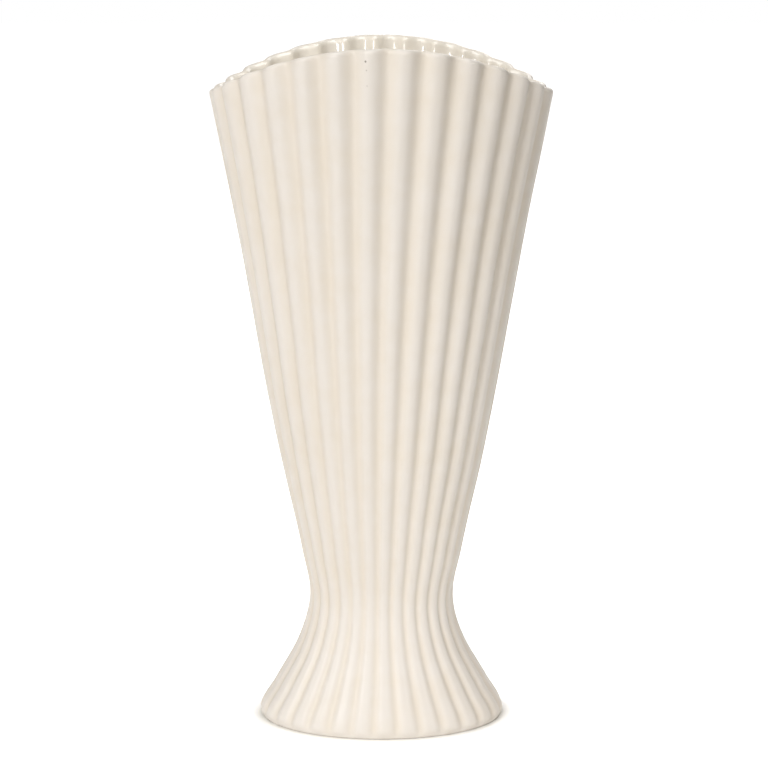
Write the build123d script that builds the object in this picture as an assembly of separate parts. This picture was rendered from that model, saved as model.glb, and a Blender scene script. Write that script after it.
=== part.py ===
from build123d import *
from bisect import bisect
from math import cos, hypot, pi, radians, sin
import os

# A tall fan vase in glazed earthenware: an oval fluted vessel with an arched rim, on a flared
# fluted foot. Millimetres. X runs along the oval mouth, Y from the front to the back and Z up,
# and the origin is the middle of the standing ring.

# Height of the rim at the middle of the front and back, and how far it drops at its two ends
vase_height = 300.0
rim_drop = 21.2
rim_corner_share = 0.07

# Side profile over the crests of the flutes: height and full width, from the base to the rim
base_width = 107.4
edge_height = 3.4
edge_width = 109.8
flare_height = 16.0
flare_width = 96.4
ankle_height = 36.0
ankle_width = 74.6
waist_height = 56.0
waist_width = 64.4
shoulder_height = 78.0
shoulder_width = 71.8
belly_height = 131.0
belly_width = 93.8
upper_height = 218.0
upper_width = 123.4
rim_width = 154.8

# How deep the oval is from front to back, as a share of its width
foot_oval_share = 0.62
waist_oval_share = 0.72
rim_oval_share = 0.70

# Flutes: rounded reeds between narrower rounded valleys, inside the walls as outside, which lean
# a little as they climb. The reed's breadth and the flute's depth are shares of the pitch.
flute_count = 30
reed_share = 0.62
flute_depth_share = 0.17
flute_spacing_share = 0.80
flute_turn_at_foot = -3.7
flute_lean = 5.7

# The plain standing edge that the flutes of the foot run down onto
standing_edge_height = 1.2
standing_edge_reach = 0.2

# Walls of the cast clay
body_wall = 4.8
body_floor = 7.0
floor_rounding = 12.0
foot_wall = 6.0
foot_web = 9.0

# The luted joint at the waist: an oval spigot in an oval socket, with slip all round it
slip_thickness = 0.6
spigot_width = 40.0
spigot_depth = 26.0
spigot_height = 3.0

# Heights that follow from the sizes above
seat_height = waist_height + slip_thickness / 2
foot_top = waist_height - slip_thickness / 2
floor_height = seat_height + body_floor
basin_height = floor_height + floor_rounding
cavity_top = foot_top - foot_web
middle_height = (flare_height + ankle_height) / 2
lip_radius = body_wall / 2
lip_foot = vase_height - lip_radius
cut_overrun = 2.0

# Where the rounded walls have an outline, in degrees round the lip and round the basin
lip_turns = (0, 45, 90, 135, 180)
basin_turns = (45, 90)
search_steps = 4800

profile = [
    (0, base_width / 2),
    (edge_height, edge_width / 2),
    (flare_height, flare_width / 2),
    (ankle_height, ankle_width / 2),
    (waist_height, waist_width / 2),
    (shoulder_height, shoulder_width / 2),
    (belly_height, belly_width / 2),
    (upper_height, upper_width / 2),
    (vase_height, rim_width / 2),
]

oval_shares = [
    (0, foot_oval_share),
    (waist_height, waist_oval_share),
    (vase_height, rim_oval_share),
]


def slope_between(first, second):
    return (second[1] - first[1]) / (second[0] - first[0])


def smooth_value(stations, height):
    """The value at a height on a smooth curve that passes through every station."""
    last = len(stations) - 2
    place = 0
    while place < last and height > stations[place + 1][0]:
        place += 1
    low, high = stations[place], stations[place + 1]
    middle = slope_between(low, high)
    start = slope_between(stations[place - 1], low) if place > 0 else middle
    end = slope_between(high, stations[place + 2]) if place < last else middle
    gap = high[0] - low[0]
    share = (height - low[0]) / gap
    start_slope = (start + middle) / 2
    end_slope = (middle + end) / 2
    rise = high[1] - low[1]
    bend = (start_slope + end_slope) * gap - 2 * rise
    return low[1] + start_slope * gap * share + (rise - start_slope * gap - bend) * share**2 + bend * share**3


def crest_radii(height):
    """Half the width and half the depth of the oval over the crests at a height."""
    half_width = smooth_value(profile, height)
    return half_width, half_width * smooth_value(oval_shares, height)


def oval_lengths():
    """How much of the oval's length lies before each of its even steps of angle."""
    lengths = [0]
    for step in range(search_steps):
        angle = 2 * pi * (step + 0.5) / search_steps
        lengths.append(lengths[-1] + hypot(cos(angle), flute_spacing_share * sin(angle)))
    return [length / lengths[-1] for length in lengths]


lengths_before = oval_lengths()


def angle_after(share):
    """The angle, from the middle of the front, at which a share of the oval's length has passed."""
    step = bisect(lengths_before, share) - 1
    part = (share - lengths_before[step]) / (lengths_before[step + 1] - lengths_before[step])
    return 2 * pi * (step + part) / search_steps


def flute_shape():
    """The angle and the share of the depth at each flute's valley, side, crest and other side.

    A side lies where the valley's arc and the reed's arc meet with one slope.
    """
    side_share = (1 - reed_share) / 2
    one_flute_shares = [(0, 1), (side_share, reed_share), (0.5, 0), (1 - side_share, reed_share)]
    shape = []
    for number in range(flute_count):
        for place, depth_share in one_flute_shares:
            shape.append((angle_after((number + place) / flute_count), depth_share))
    return shape


outline_shape = flute_shape()


def rim_fall(angle):
    """How far the rim lies below its highest point, on the side that an angle faces."""
    swing = sin(angle) ** 2
    return rim_drop * ((1 - rim_corner_share) * swing + rim_corner_share * swing**4)


def turned(angle, height):
    """The flutes keep one turn in the foot and lean steadily from the waist to the rim."""
    climb = max(0, height - waist_height) / (vase_height - waist_height)
    return angle + radians(flute_turn_at_foot + flute_lean * climb)


def outline(height_at, inset, depth_share):
    """A closed outline of valley and reed arcs in turn, whose height may change round the oval."""
    points = []
    for angle, share in outline_shape:
        height = height_at(angle)
        half_width, half_depth = crest_radii(height)
        pitch = pi * (half_width + half_depth - 2 * inset) / flute_count
        inward = inset + share * depth_share * pitch
        way = turned(angle, height)
        points.append(((half_width - inward) * sin(way), -(half_depth - inward) * cos(way), height))
    arcs = []
    for place in range(0, len(points), 2):
        arcs.append(Edge.make_three_point_arc(points[place - 1], points[place], points[place + 1]))
    return Wire(arcs)


def level_outline(height, inset=0, depth_share=flute_depth_share):
    return outline(lambda angle: height, inset, depth_share)


def closed_skin(skins, first_end, last_end):
    """A solid inside a run of skins that meet edge to edge, with a flat face at each end."""
    faces = [face for skin in skins for face in skin.faces()]
    return Solid(Shell(faces + [Face(first_end), Face(last_end)]))


def oval_prism(width, depth, height):
    return extrude(Plane.XY * Ellipse(width / 2, depth / 2), height)


def make_spigot():
    return Pos(0, 0, seat_height - spigot_height) * oval_prism(spigot_width, spigot_depth, spigot_height)


def make_socket():
    """The space of the spigot and of the slip round and under it, up to the foot's top."""
    width = spigot_width + 2 * slip_thickness
    depth = spigot_depth + 2 * slip_thickness
    return Pos(0, 0, foot_top - spigot_height) * oval_prism(width, depth, spigot_height)


def make_fan_body():
    """Outside, lip, inside and rounded basin are lofts that share their end outlines."""

    def arched_outline(level, inset):
        """An outline that is level at the body's seat and takes up the arch of the rim as it rises."""
        climb = (level - seat_height) / (lip_foot - seat_height)
        return outline(lambda angle: level - climb * rim_fall(angle), inset, flute_depth_share)

    outside_levels = (seat_height, shoulder_height, belly_height, upper_height)
    outside = [arched_outline(level, 0) for level in outside_levels]
    lip = []
    for turn in lip_turns:
        inset = lip_radius * (1 - cos(radians(turn)))
        lift = lip_radius * sin(radians(turn))
        lip.append(outline(lambda angle: lip_foot - rim_fall(angle) + lift, inset, flute_depth_share))
    inside = [lip[-1]] + [arched_outline(level, body_wall) for level in (upper_height, belly_height)]
    basin = [level_outline(basin_height, body_wall)]
    for turn in basin_turns:
        inset = floor_rounding * (1 - cos(radians(turn)))
        drop = floor_rounding * sin(radians(turn))
        basin.append(level_outline(basin_height - drop, body_wall + inset))
    skins = [
        Shell.make_loft(outside + [lip[0]], ruled=True),
        Shell.make_loft(lip, ruled=True),
        Shell.make_loft(inside + [basin[0]], ruled=True),
        Shell.make_loft(basin, ruled=True),
    ]
    return closed_skin(skins, outside[0], basin[-1]) + make_spigot()


def make_foot_hollow():
    """The plain oval space under the foot, which leaves the standing ring round its mouth."""
    levels = (0, flare_height, middle_height, ankle_height, cavity_top)
    bell = [level_outline(height, foot_wall, 0) for height in levels]
    run_out = extrude(Face(bell[0]), -cut_overrun)
    return closed_skin([Shell.make_loft(bell, ruled=True)], bell[0], bell[-1]) + run_out


def make_pedestal_foot():
    """A flared fluted loft on its plain edge, hollowed from below, with the socket in its top."""
    levels = (standing_edge_height, edge_height, flare_height, middle_height, ankle_height, foot_top)
    flare = [level_outline(height) for height in levels]
    shell = closed_skin([Shell.make_loft(flare, ruled=True)], flare[0], flare[-1])
    edge_radii = [radius + standing_edge_reach for radius in crest_radii(standing_edge_height)]
    edge = oval_prism(2 * edge_radii[0], 2 * edge_radii[1], standing_edge_height)
    return edge + shell - make_foot_hollow() - make_socket()


def make_luting_slip():
    """The collar of slip between the seats, with the thin cup that it forms round the spigot."""
    collar = extrude(Face(level_outline(foot_top)), slip_thickness)
    return collar + make_socket() - make_spigot()


parts = {
    "fan_body": make_fan_body(),
    "luting_slip": make_luting_slip(),
    "pedestal_foot": make_pedestal_foot(),
}

os.makedirs("parts", exist_ok=True)
for name, part in parts.items():
    export_step(part, f"parts/{name}.step")
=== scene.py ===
from collections import namedtuple
from math import atan2, cos, hypot, pi, radians, sin

import bpy
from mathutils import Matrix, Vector, noise


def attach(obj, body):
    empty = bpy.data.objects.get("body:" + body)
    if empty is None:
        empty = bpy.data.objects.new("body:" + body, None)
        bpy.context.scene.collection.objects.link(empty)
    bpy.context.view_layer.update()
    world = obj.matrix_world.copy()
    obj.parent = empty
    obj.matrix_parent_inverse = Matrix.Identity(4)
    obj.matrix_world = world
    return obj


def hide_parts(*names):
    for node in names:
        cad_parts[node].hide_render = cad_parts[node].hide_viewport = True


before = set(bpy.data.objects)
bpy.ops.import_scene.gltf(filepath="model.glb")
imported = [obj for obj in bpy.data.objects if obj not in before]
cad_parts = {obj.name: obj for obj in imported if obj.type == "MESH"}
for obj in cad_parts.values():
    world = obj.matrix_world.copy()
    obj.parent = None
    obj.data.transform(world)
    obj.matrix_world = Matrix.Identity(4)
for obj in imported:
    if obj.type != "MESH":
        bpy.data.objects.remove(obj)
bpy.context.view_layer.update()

# A tall fan vase in cream glazed earthenware: an oval fluted vessel with an arched rim, luted to a
# flared fluted foot. Metres, with +X along the oval mouth, -Y to the front and +Z up.

mm = 0.001

# Heights and widths over the crests of the flutes, close to those of the solids. The ends of the
# rim droop a little less than in the solids.
vase_height = 300 * mm
rim_drop = 19.6 * mm
rim_corner_share = 0.02
waist_height = 56 * mm
half_width_profile = [
    (0 * mm, 53.7 * mm),
    (3.4 * mm, 54.9 * mm),
    (16 * mm, 48.2 * mm),
    (36 * mm, 37.3 * mm),
    (56 * mm, 32.2 * mm),
    (78 * mm, 35.9 * mm),
    (131 * mm, 46.9 * mm),
    (218 * mm, 61.7 * mm),
    (300 * mm, 77.2 * mm),
]
oval_shares = [(0 * mm, 0.62), (56 * mm, 0.72), (300 * mm, 0.70)]

# Flutes: rounded reeds with narrower rounded valleys, which lean a little as they climb. In the
# foot the reeds are fuller, and glaze fills the valleys between them more.
flute_count = 30
flute_depth_shares = [(0 * mm, 0.115), (56 * mm, 0.155), (131 * mm, 0.18), (300 * mm, 0.18)]
flute_spacing_share = 0.80
reed_fullnesses = [(0 * mm, 4.4), (56 * mm, 3.4), (131 * mm, 2.8), (300 * mm, 2.7)]
flute_turn_at_foot = radians(-3.7)
flute_lean = radians(5.7)

# Walls, and the luted joint at the waist
body_wall = 4.8 * mm
body_floor = 7 * mm
floor_rounding = 12 * mm
foot_wall = 6 * mm
foot_web = 9 * mm
foot_edge_rounding = 0.7 * mm
foot_fade_height = 6 * mm
bare_clay_height = 0.1 * mm
slip_thickness = 0.6 * mm
spigot_half_width = 20 * mm
spigot_half_depth = 13 * mm
spigot_height = 3 * mm

seat_height = waist_height + slip_thickness / 2
foot_top = waist_height - slip_thickness / 2
floor_height = seat_height + body_floor
basin_height = floor_height + floor_rounding
cavity_top = foot_top - foot_web
lip_radius = body_wall / 2
lip_top = vase_height - lip_radius

# How finely the clay is modelled, and how uneven the hand-finished walls are
points_per_flute = 16
ring_points = points_per_flute * flute_count
body_steps = 46
foot_steps = 26
foot_fade_steps = 8
inside_steps = 40
arc_steps = 1440
crease_angle = radians(40)
wall_waviness = 0.22 * mm
waviness_length = 34 * mm
seam_calm_height = 10 * mm

# Where the rounded walls have a ring, in degrees round the lip, the basin and the standing edge
lip_turns = (20, 40, 60, 80, 100, 120, 140, 160)
basin_turns = (15, 30, 45, 60, 75, 90)
outer_edge_turns = (22.5, 45, 67.5, 90)
inner_edge_turns = (45, 90)

# Colours of the glaze: thin on the reeds, pooled in the valleys, where the darker, warmer tone is
# partly real pooled glaze and partly painted shade, and thick inside, where the paler lining is painted
# light on the inner wall. Bare clay shows on the standing ring, and a dark pit in each pinhole.
thin_glaze = (0.85, 0.798, 0.74, 1)
pooled_glaze_and_shade = (0.79, 0.70, 0.57, 1)
lining_glaze_and_painted_light = (0.97, 0.91, 0.80, 1)
bare_clay_colour = (0.66, 0.56, 0.44, 1)
pinhole_colour = (0.16, 0.12, 0.09, 1)

# Gloss of the glaze: a satin skin outside, which turns into a clear glossy coat inside. The change
# lies between two shares of the way through the wall, and the lining covers a share of the tone
# with a paler colour that is painted light on the inner wall.
glaze_roughness = 0.5
bare_clay_roughening = 0.4
outside_coat, inside_coat = 0.15, 1
outside_coat_roughness, inside_coat_roughness = 0.3, 0.012
coat_ior = 1.6
glaze_ior = 1.5
lining_and_light_share = 0.8
lining_start, lining_end = 0.3, 0.9

# Unevenness of the glaze: noise scales per metre, the range of the noise that is used, how far it
# and the pooling, partly painted shade in the valleys, move the tone, and how far it moves the gloss
# and the height of the skin
broad_scale, cloud_scale, grain_scale = 26, 130, 900
noise_range = (0.3, 0.7)
broad_swing, cloud_swing = 0.12, 0.10
pool_and_shade_share = 0.45
thinnest_share = -0.05
gloss_swing = (-0.05, 0.06)
cloud_height, grain_height = 0.7, 0.12
bump_strength = 0.25
bump_distance = 0.3 * mm

# Scattered pinholes: cells per metre, the radii at which a hole is darkest and at which it ends, as
# shares of a cell, how dark it is, and the share of the cells that have none
pinhole_scale = 50
pinhole_radii = (0.012, 0.022)
pinhole_darkness = 0.7
pinhole_rarity = 0.45
pinhole_depth = 2

# Pinholes in the glaze under the middle of the rim: place, radius and how dark they are. The core
# is the share of a hole's radius that is evenly dark.
pinhole_core = 0.6
pinhole_places = [
    ((-6.6 * mm, -53.0 * mm, 295.1 * mm), 0.6 * mm, 0.8),
    ((-6.2 * mm, -52.6 * mm, 291.6 * mm), 0.45 * mm, 0.3),
    ((-7.6 * mm, -52.4 * mm, 288.6 * mm), 0.45 * mm, 0.25),
    ((-6.0 * mm, -52.0 * mm, 285.4 * mm), 0.5 * mm, 0.25),
]

# A ring of clay: its height and inset from the crests, the shares of the flute's depth and of the
# rim's arch that it takes, and its own half width and half depth where it is a plain oval
Ring = namedtuple("Ring", "height inset flute arch plain")


def slope_between(first, second):
    return (second[1] - first[1]) / (second[0] - first[0])


def smooth_value(stations, height):
    """The value at a height on a smooth curve that passes through every station."""
    last = len(stations) - 2
    place = 0
    while place < last and height > stations[place + 1][0]:
        place += 1
    low, high = stations[place], stations[place + 1]
    middle = slope_between(low, high)
    start = slope_between(stations[place - 1], low) if place > 0 else middle
    end = slope_between(high, stations[place + 2]) if place < last else middle
    gap = high[0] - low[0]
    share = (height - low[0]) / gap
    start_slope = (start + middle) / 2
    end_slope = (middle + end) / 2
    rise = high[1] - low[1]
    bend = (start_slope + end_slope) * gap - 2 * rise
    curve = rise - start_slope * gap - bend
    return low[1] + start_slope * gap * share + curve * share**2 + bend * share**3


def crest_radii(height):
    """Half the width and half the depth of the oval over the crests at a height."""
    half_width = smooth_value(half_width_profile, height)
    return half_width, half_width * smooth_value(oval_shares, height)


def arc_table():
    """How much of the oval's length lies before each of its evenly stepped angles."""
    lengths = [0]
    for step in range(arc_steps):
        angle = 2 * pi * (step + 0.5) / arc_steps
        lengths.append(lengths[-1] + hypot(cos(angle), flute_spacing_share * sin(angle)))
    return [length / lengths[-1] for length in lengths]


arc_shares = arc_table()


def arc_share(angle):
    place = (angle / (2 * pi)) % 1 * arc_steps
    step = int(place)
    return arc_shares[step] + (place - step) * (arc_shares[step + 1] - arc_shares[step])


def groove(angle, height):
    """The share of the flute's depth at a place: nothing on a reed's crest, one in a valley."""
    climb = max(0, height - waist_height) / (vase_height - waist_height)
    turn = flute_turn_at_foot + flute_lean * climb
    return abs(cos(pi * flute_count * arc_share(angle - turn))) ** smooth_value(reed_fullnesses, height)


def flute_depth(height, inset):
    pitch = pi * (sum(crest_radii(height)) - 2 * inset) / flute_count
    return pitch * smooth_value(flute_depth_shares, height)


def rim_fall(angle):
    """How far the rim lies below its highest point, on the side that an angle faces."""
    swing = sin(angle) ** 2
    return rim_drop * ((1 - rim_corner_share) * swing + rim_corner_share * swing**4)


def unevenness(place):
    """The slight waviness of a hand-finished wall, which dies away at the waist and at the base."""
    calm = min(1, abs(place.z - waist_height) / seam_calm_height, place.z / seam_calm_height)
    return wall_waviness * calm * noise.noise(place / waviness_length)


def between(start, end, steps):
    return [start + (end - start) * step / steps for step in range(steps + 1)]


def plain_ring(half_width, half_depth, height):
    return Ring(height, 0, 0, 0, (half_width, half_depth))


def wall_ring(height, inset=0, flute=1, arch=0):
    return Ring(height, inset, flute, arch, None)


def clay_skin(name, rings):
    """A closed skin of clay: oval rings pulled one from the next, and both ends filled."""
    bpy.ops.object.select_all(action="DESELECT")
    bpy.ops.mesh.primitive_circle_add(vertices=ring_points, radius=1, enter_editmode=True)
    bpy.ops.mesh.select_all(action="SELECT")
    width_before, depth_before, height_before = 1, 1, 0
    for number, ring in enumerate(rings):
        half_width, half_depth = ring.plain or [radius - ring.inset for radius in crest_radii(ring.height)]
        if number > 0:
            bpy.ops.mesh.extrude_region_move()
        bpy.ops.transform.translate(value=(0, 0, ring.height - height_before))
        bpy.ops.transform.resize(value=(half_width / width_before, half_depth / depth_before, 1))
        width_before, depth_before, height_before = half_width, half_depth, ring.height
    bpy.ops.mesh.select_all(action="SELECT")
    bpy.ops.mesh.fill_holes(sides=0)
    bpy.ops.mesh.select_all(action="DESELECT")
    bpy.ops.mesh.select_face_by_sides(number=4, type="GREATER", extend=False)
    bpy.ops.mesh.poke()
    bpy.ops.mesh.select_all(action="SELECT")
    bpy.ops.mesh.normals_make_consistent(inside=False)
    bpy.ops.object.mode_set(mode="OBJECT")
    piece = bpy.context.object
    piece.name = name
    piece.data.name = name
    press_flutes(piece, rings)
    bpy.ops.object.shade_smooth_by_angle(angle=crease_angle)
    return piece


def press_flutes(piece, rings):
    """Draws each ring down to the rim's arch, presses the flutes into it and notes the valleys, where
    glaze pools and painted shade darkens the tone.
    """
    vertices = piece.data.vertices
    pool_and_shade = piece.data.attributes.new("glaze_pool_and_shade", "FLOAT", "POINT")
    lining = piece.data.attributes.new("lining", "FLOAT", "POINT")
    bare = piece.data.attributes.new("bare_clay", "FLOAT", "POINT")
    for number, ring in enumerate(rings):
        if ring.plain:
            continue
        ring_width, ring_depth = [radius - ring.inset for radius in crest_radii(ring.height)]
        for vertex in vertices[number * ring_points:(number + 1) * ring_points]:
            angle = atan2(vertex.co.x / ring_width, -vertex.co.y / ring_depth)
            height = ring.height - ring.arch * rim_fall(angle)
            half_width, half_depth = crest_radii(height)
            valley = groove(angle, height)
            inset = ring.inset + ring.flute * valley * flute_depth(height, ring.inset)
            place = Vector(((half_width - inset) * sin(angle), -(half_depth - inset) * cos(angle), height))
            inset += wall_waviness + unevenness(place)
            vertex.co = ((half_width - inset) * sin(angle), -(half_depth - inset) * cos(angle), height)
            pool_and_shade.data[vertex.index].value = valley * ring.flute
            lining.data[vertex.index].value = min(1, ring.inset / body_wall)
            bare.data[vertex.index].value = 1 if ring.height < bare_clay_height else 0


def make_body():
    """The tall fluted vessel, from the spigot under its floor over the lip and down into its basin."""
    rings = [
        plain_ring(spigot_half_width, spigot_half_depth, seat_height - spigot_height),
        plain_ring(spigot_half_width, spigot_half_depth, seat_height),
    ]
    for share in between(0, 1, body_steps):
        rings.append(wall_ring(seat_height + share * (lip_top - seat_height), 0, 1, share))
    for turn in lip_turns:
        inset = lip_radius * (1 - cos(radians(turn)))
        rings.append(wall_ring(lip_top + lip_radius * sin(radians(turn)), inset, 1, 1))
    for share in between(1, 0, inside_steps):
        rings.append(wall_ring(basin_height + share * (lip_top - basin_height), body_wall, 1, share))
    for turn in basin_turns:
        inset = body_wall + floor_rounding * (1 - cos(radians(turn)))
        rings.append(wall_ring(basin_height - floor_rounding * sin(radians(turn)), inset))
    return clay_skin("glazed_body", rings)


def make_foot():
    """The flared foot, from the socket in its top down to the standing ring and up into its hollow."""
    socket_half_width = spigot_half_width + slip_thickness
    socket_half_depth = spigot_half_depth + slip_thickness
    rings = [
        plain_ring(socket_half_width, socket_half_depth, foot_top - spigot_height),
        plain_ring(socket_half_width, socket_half_depth, foot_top),
    ]
    for height in between(foot_top, foot_fade_height, foot_steps):
        rings.append(wall_ring(height))
    for share in between(0, 1, foot_fade_steps)[1:]:
        height = foot_fade_height + (foot_edge_rounding - foot_fade_height) * share
        rings.append(wall_ring(height, 0, 1 - share * share))
    for turn in outer_edge_turns:
        inset = foot_edge_rounding * (1 - cos(radians(turn)))
        rings.append(wall_ring(foot_edge_rounding * (1 - sin(radians(turn))), inset, 0))
    rings.append(wall_ring(0, foot_wall - foot_edge_rounding, 0))
    for turn in inner_edge_turns:
        inset = foot_wall - foot_edge_rounding * cos(radians(turn))
        rings.append(wall_ring(foot_edge_rounding * (1 - cos(radians(turn))), inset, 0))
    for height in between(foot_edge_rounding * 2, cavity_top, foot_steps):
        rings.append(wall_ring(height, foot_wall, 0))
    return clay_skin("glazed_foot", rings)


def make_slip():
    """The fired slip: a fluted collar between the two seats, and a thin cup round the spigot."""
    cup_half_width = spigot_half_width + slip_thickness
    cup_half_depth = spigot_half_depth + slip_thickness
    rings = [
        plain_ring(cup_half_width, cup_half_depth, foot_top - spigot_height),
        plain_ring(cup_half_width, cup_half_depth, foot_top),
        wall_ring(foot_top),
        wall_ring(seat_height),
        plain_ring(spigot_half_width, spigot_half_depth, seat_height),
        plain_ring(spigot_half_width, spigot_half_depth, seat_height - spigot_height),
    ]
    return clay_skin("joint_slip", rings)


# Finishes

def new_node(tree, kind, place, **settings):
    node = tree.nodes.new(kind)
    node.location = place
    for name, value in settings.items():
        setattr(node, name, value)
    return node


def noise_field(tree, place, source, scale, detail):
    field = new_node(tree, "ShaderNodeTexNoise", place)
    field.inputs["Scale"].default_value = scale
    field.inputs["Detail"].default_value = detail
    tree.links.new(source, field.inputs["Vector"])
    return field.outputs["Fac"]


def spread(tree, place, value, low, high, to_low, to_high):
    """Maps one range of a value onto another and holds it inside."""
    node = new_node(tree, "ShaderNodeMapRange", place)
    for name, number in zip(("From Min", "From Max", "To Min", "To Max"), (low, high, to_low, to_high)):
        node.inputs[name].default_value = number
    tree.links.new(value, node.inputs["Value"])
    return node.outputs["Result"]


def combine(tree, place, operation, first, second):
    node = new_node(tree, "ShaderNodeMath", place, operation=operation)
    for socket, value in zip(node.inputs, (first, second)):
        if isinstance(value, (int, float)):
            socket.default_value = value
        else:
            tree.links.new(value, socket)
    return node.outputs["Value"]


def blend_colours(tree, place, share, first, second):
    node = new_node(tree, "ShaderNodeMix", place, data_type="RGBA")
    tree.links.new(share, node.inputs["Factor"])
    for socket, value in ((node.inputs[6], first), (node.inputs[7], second)):
        if isinstance(value, tuple):
            socket.default_value = value
        else:
            tree.links.new(value, socket)
    return node.outputs[2]


def make_glaze_group():
    """The glaze's tone, gloss and skin: thin and pale on the reeds, pooled, darker and warmer in the
    valleys, partly as painted shade.
    """
    group = bpy.data.node_groups.new("earthenware_glaze", "ShaderNodeTree")
    face = group.interface
    face.new_socket("Place", in_out="INPUT", socket_type="NodeSocketVector")
    face.new_socket("Pool And Shade", in_out="INPUT", socket_type="NodeSocketFloat")
    face.new_socket("Thin Colour", in_out="INPUT", socket_type="NodeSocketColor")
    face.new_socket("Pooled And Shaded Colour", in_out="INPUT", socket_type="NodeSocketColor")
    face.new_socket("Pinhole Colour", in_out="INPUT", socket_type="NodeSocketColor")
    face.new_socket("Gloss Roughness", in_out="INPUT", socket_type="NodeSocketFloat")
    face.new_socket("Colour", in_out="OUTPUT", socket_type="NodeSocketColor")
    face.new_socket("Roughness", in_out="OUTPUT", socket_type="NodeSocketFloat")
    face.new_socket("Height", in_out="OUTPUT", socket_type="NodeSocketFloat")
    given = new_node(group, "NodeGroupInput", (-1200, 0))
    result = new_node(group, "NodeGroupOutput", (600, 0))
    place = given.outputs["Place"]

    broad = noise_field(group, (-900, 300), place, broad_scale, 3)
    cloud = noise_field(group, (-900, 100), place, cloud_scale, 4)
    grain = noise_field(group, (-900, -100), place, grain_scale, 2)
    broad_share = spread(group, (-650, 300), broad, *noise_range, -broad_swing, broad_swing)
    cloud_share = spread(group, (-650, 100), cloud, *noise_range, -cloud_swing, cloud_swing)
    uneven = combine(group, (-450, 200), "ADD", broad_share, cloud_share)
    # The pooled colour in the valleys is partly real pooled glaze and partly painted shade.
    pooled_and_shade = combine(group, (-450, 400), "MULTIPLY", given.outputs["Pool And Shade"], pool_and_shade_share)
    share = combine(group, (-250, 300), "ADD", pooled_and_shade, uneven)
    held = spread(group, (-100, 300), share, thinnest_share, 1, 0, 1)
    thin, deep_and_shaded = given.outputs["Thin Colour"], given.outputs["Pooled And Shaded Colour"]
    tone = blend_colours(group, (50, 300), held, thin, deep_and_shaded)

    cells = new_node(group, "ShaderNodeTexVoronoi", (-900, -400))
    cells.inputs["Scale"].default_value = pinhole_scale
    group.links.new(place, cells.inputs["Vector"])
    near = spread(group, (-650, -400), cells.outputs["Distance"], *pinhole_radii, pinhole_darkness, 0)
    pick = new_node(group, "ShaderNodeSeparateColor", (-650, -600))
    group.links.new(cells.outputs["Color"], pick.inputs["Color"])
    chosen = combine(group, (-450, -600), "GREATER_THAN", pick.outputs["Red"], pinhole_rarity)
    pinhole = combine(group, (-250, -500), "MULTIPLY", near, chosen)
    for number, (spot, radius, strength) in enumerate(pinhole_places):
        row = -800 - 200 * number
        gap = new_node(group, "ShaderNodeVectorMath", (-650, row), operation="DISTANCE")
        group.links.new(place, gap.inputs[0])
        gap.inputs[1].default_value = spot
        pit = spread(group, (-450, row), gap.outputs["Value"], pinhole_core * radius, radius, strength, 0)
        pinhole = combine(group, (-250, row), "MAXIMUM", pinhole, pit)
    final = blend_colours(group, (250, 200), pinhole, tone, given.outputs["Pinhole Colour"])

    dulling = spread(group, (-250, -100), cloud, *noise_range, *gloss_swing)
    rough = combine(group, (0, -100), "ADD", given.outputs["Gloss Roughness"], dulling)
    ripple = combine(group, (-250, -250), "MULTIPLY", cloud, cloud_height)
    peel = combine(group, (-250, -350), "MULTIPLY", grain, grain_height)
    skin = combine(group, (-50, -300), "ADD", ripple, peel)
    pit = combine(group, (-50, -450), "MULTIPLY", pinhole, -pinhole_depth)
    height = combine(group, (150, -350), "ADD", skin, pit)
    group.links.new(final, result.inputs["Colour"])
    group.links.new(rough, result.inputs["Roughness"])
    group.links.new(height, result.inputs["Height"])
    return group


def bare_clay(tree, colour, roughness):
    """Where the glaze is wiped off, the clay shows through, matt and a little darker."""
    bare = new_node(tree, "ShaderNodeAttribute", (-600, 300), attribute_name="bare_clay").outputs["Fac"]
    tone = blend_colours(tree, (-250, 300), bare, colour, bare_clay_colour)
    matt = spread(tree, (-450, 450), bare, 0, 1, 0, bare_clay_roughening)
    return bare, tone, combine(tree, (-250, 450), "ADD", roughness, matt)


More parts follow.
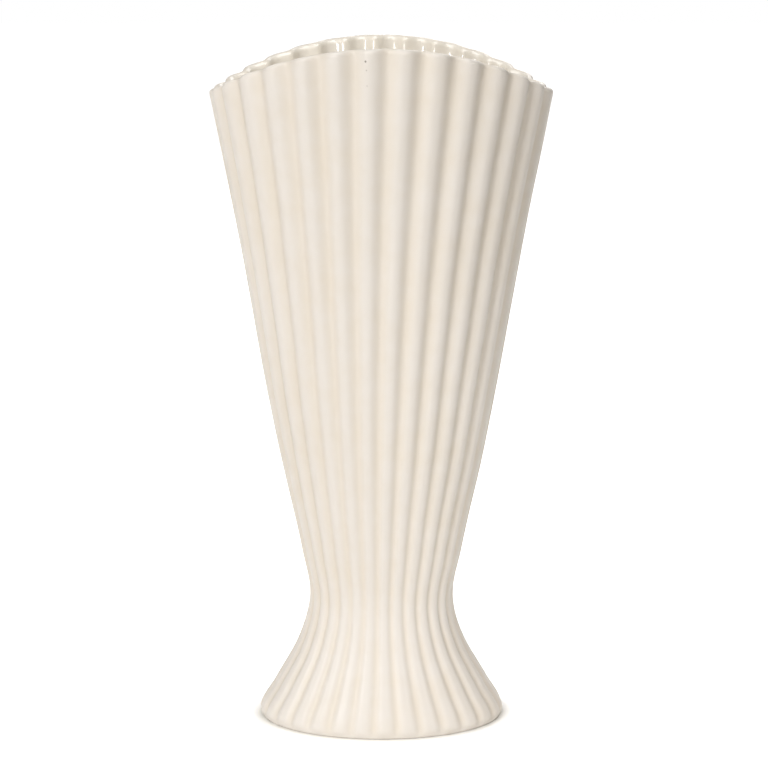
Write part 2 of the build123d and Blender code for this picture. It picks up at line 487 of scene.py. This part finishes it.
def glaze_material(name, group):
    """One piece's glaze: the shared group, the thick glossy lining inside, painted paler as painted light,
    and the bare clay below.
    """
    material = bpy.data.materials.new(name)
    material.use_nodes = True
    tree = material.node_tree
    shader = tree.nodes["Principled BSDF"]
    place = new_node(tree, "ShaderNodeTexCoord", (-900, 0)).outputs["Object"]
    pool_and_shade = new_node(tree, "ShaderNodeAttribute", (-900, -250), attribute_name="glaze_pool_and_shade").outputs["Fac"]
    glaze = new_node(tree, "ShaderNodeGroup", (-600, 0), node_tree=group)
    tree.links.new(place, glaze.inputs["Place"])
    tree.links.new(pool_and_shade, glaze.inputs["Pool And Shade"])
    glaze.inputs["Thin Colour"].default_value = thin_glaze
    glaze.inputs["Pooled And Shaded Colour"].default_value = pooled_glaze_and_shade
    glaze.inputs["Pinhole Colour"].default_value = pinhole_colour
    glaze.inputs["Gloss Roughness"].default_value = glaze_roughness
    bump = new_node(tree, "ShaderNodeBump", (-250, -300))
    bump.inputs["Strength"].default_value = bump_strength
    bump.inputs["Distance"].default_value = bump_distance
    tree.links.new(glaze.outputs["Height"], bump.inputs["Height"])
    inside = new_node(tree, "ShaderNodeAttribute", (-900, -500), attribute_name="lining").outputs["Fac"]
    # The paler lining tone inside is painted light on the inner wall, over a thick glossy lining.
    lining_and_light = spread(tree, (-600, -950), inside, lining_start, lining_end, 0, lining_and_light_share)
    tone = blend_colours(tree, (-400, 100), lining_and_light, glaze.outputs["Colour"], lining_glaze_and_painted_light)
    bare, tone, rough = bare_clay(tree, tone, glaze.outputs["Roughness"])
    tree.links.new(tone, shader.inputs["Base Color"])
    tree.links.new(rough, shader.inputs["Roughness"])
    tree.links.new(bump.outputs["Normal"], shader.inputs["Normal"])
    shader.inputs["IOR"].default_value = glaze_ior
    glossy = spread(tree, (-600, -500), inside, lining_start, lining_end, outside_coat, inside_coat)
    glazed = spread(tree, (-600, -800), bare, 0, 1, 1, 0)
    coated = combine(tree, (-400, -500), "MULTIPLY", glossy, glazed)
    dull = spread(
        tree, (-600, -650), inside, lining_start, lining_end, outside_coat_roughness, inside_coat_roughness
    )
    tree.links.new(coated, shader.inputs["Coat Weight"])
    tree.links.new(dull, shader.inputs["Coat Roughness"])
    shader.inputs["Coat IOR"].default_value = coat_ior
    return material


def finish_piece(piece, material, slot, *nodes):
    piece.data.materials.append(material)
    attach(piece, "root")
    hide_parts(*nodes)


glaze_group = make_glaze_group()
body_glaze = glaze_material("cream_glaze_body", glaze_group)
foot_glaze = glaze_material("cream_glaze_foot", glaze_group)
slip_glaze = glaze_material("glazed_slip", glaze_group)

finish_piece(make_body(), body_glaze, "cream_glaze", "fan_body")
finish_piece(make_foot(), foot_glaze, "cream_glaze", "pedestal_foot")
finish_piece(make_slip(), slip_glaze, "fired_slip", "luting_slip")


# Studio: a pale floor that shows white to the camera and keeps the shadow, soft lamps and the camera

floor_size = 12
floor_colour = (0.9, 0.885, 0.85, 1)
floor_roughness = 0.9
shadow_oval_share = 0.62
shadow_start, shadow_end = 54.5 * mm, 66 * mm
air_colour = (1, 0.94, 0.85, 1)
white = (1, 1, 1, 1)
air_level = 0.17
lamp_distance = 2.2

# Lamps that face the middle of the vase: name, azimuth, elevation, width, height and power.
# Azimuth 0 is in front and 90 on the right. A small close one lights the foot in a narrow beam.
lamps = [
    ("key_lamp", -34, 42, 1.2, 1.2, 8),
    ("top_lamp", -8, 70, 1.4, 1.4, 22.5),
    ("back_lamp", 160, 36, 1.4, 1.4, 12),
    ("low_lamp", -31, 11, 0.42, 0.8, 13),
]
foot_lamp_settings = ("foot_lamp", 36, 24, 0.3, 0.2, 0.044)
foot_lamp_distance = 0.9
foot_lamp_target = 20 * mm
foot_lamp_beam = radians(30)

# The camera's place round the vase in metres and degrees, its lens and its small shift
camera_target_height = 0.1507
camera_distance = 0.9012
camera_elevation = 12.92
camera_azimuth = -0.21
camera_sensor = 36
camera_lens = 96.7
camera_shift = (0.0033, 0.0040)


def make_floor():
    """White to the camera and to reflections, except in a narrow dark line of contact round the foot."""
    bpy.ops.object.select_all(action="DESELECT")
    bpy.ops.mesh.primitive_plane_add(size=floor_size)
    floor = bpy.context.object
    floor.name = "studio_floor"
    material = bpy.data.materials.new("pale_floor")
    material.use_nodes = True
    tree = material.node_tree
    shader = tree.nodes["Principled BSDF"]
    shader.inputs["Base Color"].default_value = floor_colour
    shader.inputs["Roughness"].default_value = floor_roughness
    shader.inputs["Specular IOR Level"].default_value = 0
    glow = new_node(tree, "ShaderNodeEmission", (0, -200))
    rays = new_node(tree, "ShaderNodeLightPath", (-400, -200))
    camera_ray, glossy_ray = rays.outputs["Is Camera Ray"], rays.outputs["Is Glossy Ray"]
    seen = combine(tree, (-200, -200), "MAXIMUM", camera_ray, glossy_ray)
    place = new_node(tree, "ShaderNodeTexCoord", (-800, -450)).outputs["Object"]
    oval = new_node(tree, "ShaderNodeVectorMath", (-700, -450), operation="MULTIPLY")
    oval.inputs[1].default_value = (1, 1 / shadow_oval_share, 1)
    tree.links.new(place, oval.inputs[0])
    away = new_node(tree, "ShaderNodeVectorMath", (-550, -450), operation="LENGTH")
    tree.links.new(oval.outputs["Vector"], away.inputs[0])
    level = spread(tree, (-400, -450), away.outputs["Value"], shadow_start, shadow_end, 0, 1)
    strength = combine(tree, (-50, -350), "MULTIPLY", seen, level)
    tree.links.new(strength, glow.inputs["Strength"])
    both = new_node(tree, "ShaderNodeAddShader", (300, 0))
    tree.links.new(shader.outputs["BSDF"], both.inputs[0])
    tree.links.new(glow.outputs["Emission"], both.inputs[1])
    tree.links.new(both.outputs["Shader"], tree.nodes["Material Output"].inputs["Surface"])
    floor.data.materials.append(material)


def make_world():
    """Soft fill from all round, which shows plain white where the camera sees past the floor."""
    world = bpy.data.worlds.new("studio_air")
    world.use_nodes = True
    bpy.context.scene.world = world
    tree = world.node_tree
    shown = tree.nodes["Background"]
    rays = new_node(tree, "ShaderNodeLightPath", (-600, 200))
    seen = rays.outputs["Is Camera Ray"]
    tone = blend_colours(tree, (-300, 400), seen, air_colour, white)
    tree.links.new(tone, shown.inputs["Color"])
    tree.links.new(spread(tree, (-300, 200), seen, 0, 1, air_level, 1), shown.inputs["Strength"])


def add_lamp(name, azimuth, elevation, width, height, power, distance, target_height):
    """A soft lamp that faces the vase's axis at a height."""
    turn, lift = radians(azimuth), radians(elevation)
    target = Vector((0, 0, target_height))
    away = Vector((sin(turn) * cos(lift), -cos(turn) * cos(lift), sin(lift)))
    bpy.ops.object.light_add(type="AREA", location=target + distance * away)
    lamp = bpy.context.object
    lamp.name = name
    lamp.rotation_euler = away.to_track_quat("Z", "Y").to_euler()
    lamp.data.shape = "RECTANGLE"
    lamp.data.size = width
    lamp.data.size_y = height
    lamp.data.energy = power
    return lamp


def make_camera():
    """Stands a little above the rim and looks slightly down at the vase, as the photograph does."""
    target = Vector((0, 0, camera_target_height))
    elevation = radians(camera_elevation)
    turn = radians(camera_azimuth)
    away = Vector((sin(turn) * cos(elevation), -cos(turn) * cos(elevation), sin(elevation)))
    bpy.ops.object.camera_add(location=target + camera_distance * away)
    camera = bpy.context.object
    camera.name = "photo_camera"
    camera.rotation_euler = away.to_track_quat("Z", "Y").to_euler()
    camera.data.sensor_width = camera_sensor
    camera.data.lens = camera_lens
    camera.data.shift_x, camera.data.shift_y = camera_shift
    bpy.context.scene.camera = camera


make_floor()
make_world()
for settings in lamps:
    add_lamp(*settings, lamp_distance, vase_height / 2)
foot_lamp = add_lamp(*foot_lamp_settings, foot_lamp_distance, foot_lamp_target)
foot_lamp.data.spread = foot_lamp_beam
make_camera()
bpy.context.scene.view_settings.view_transform = "Standard"
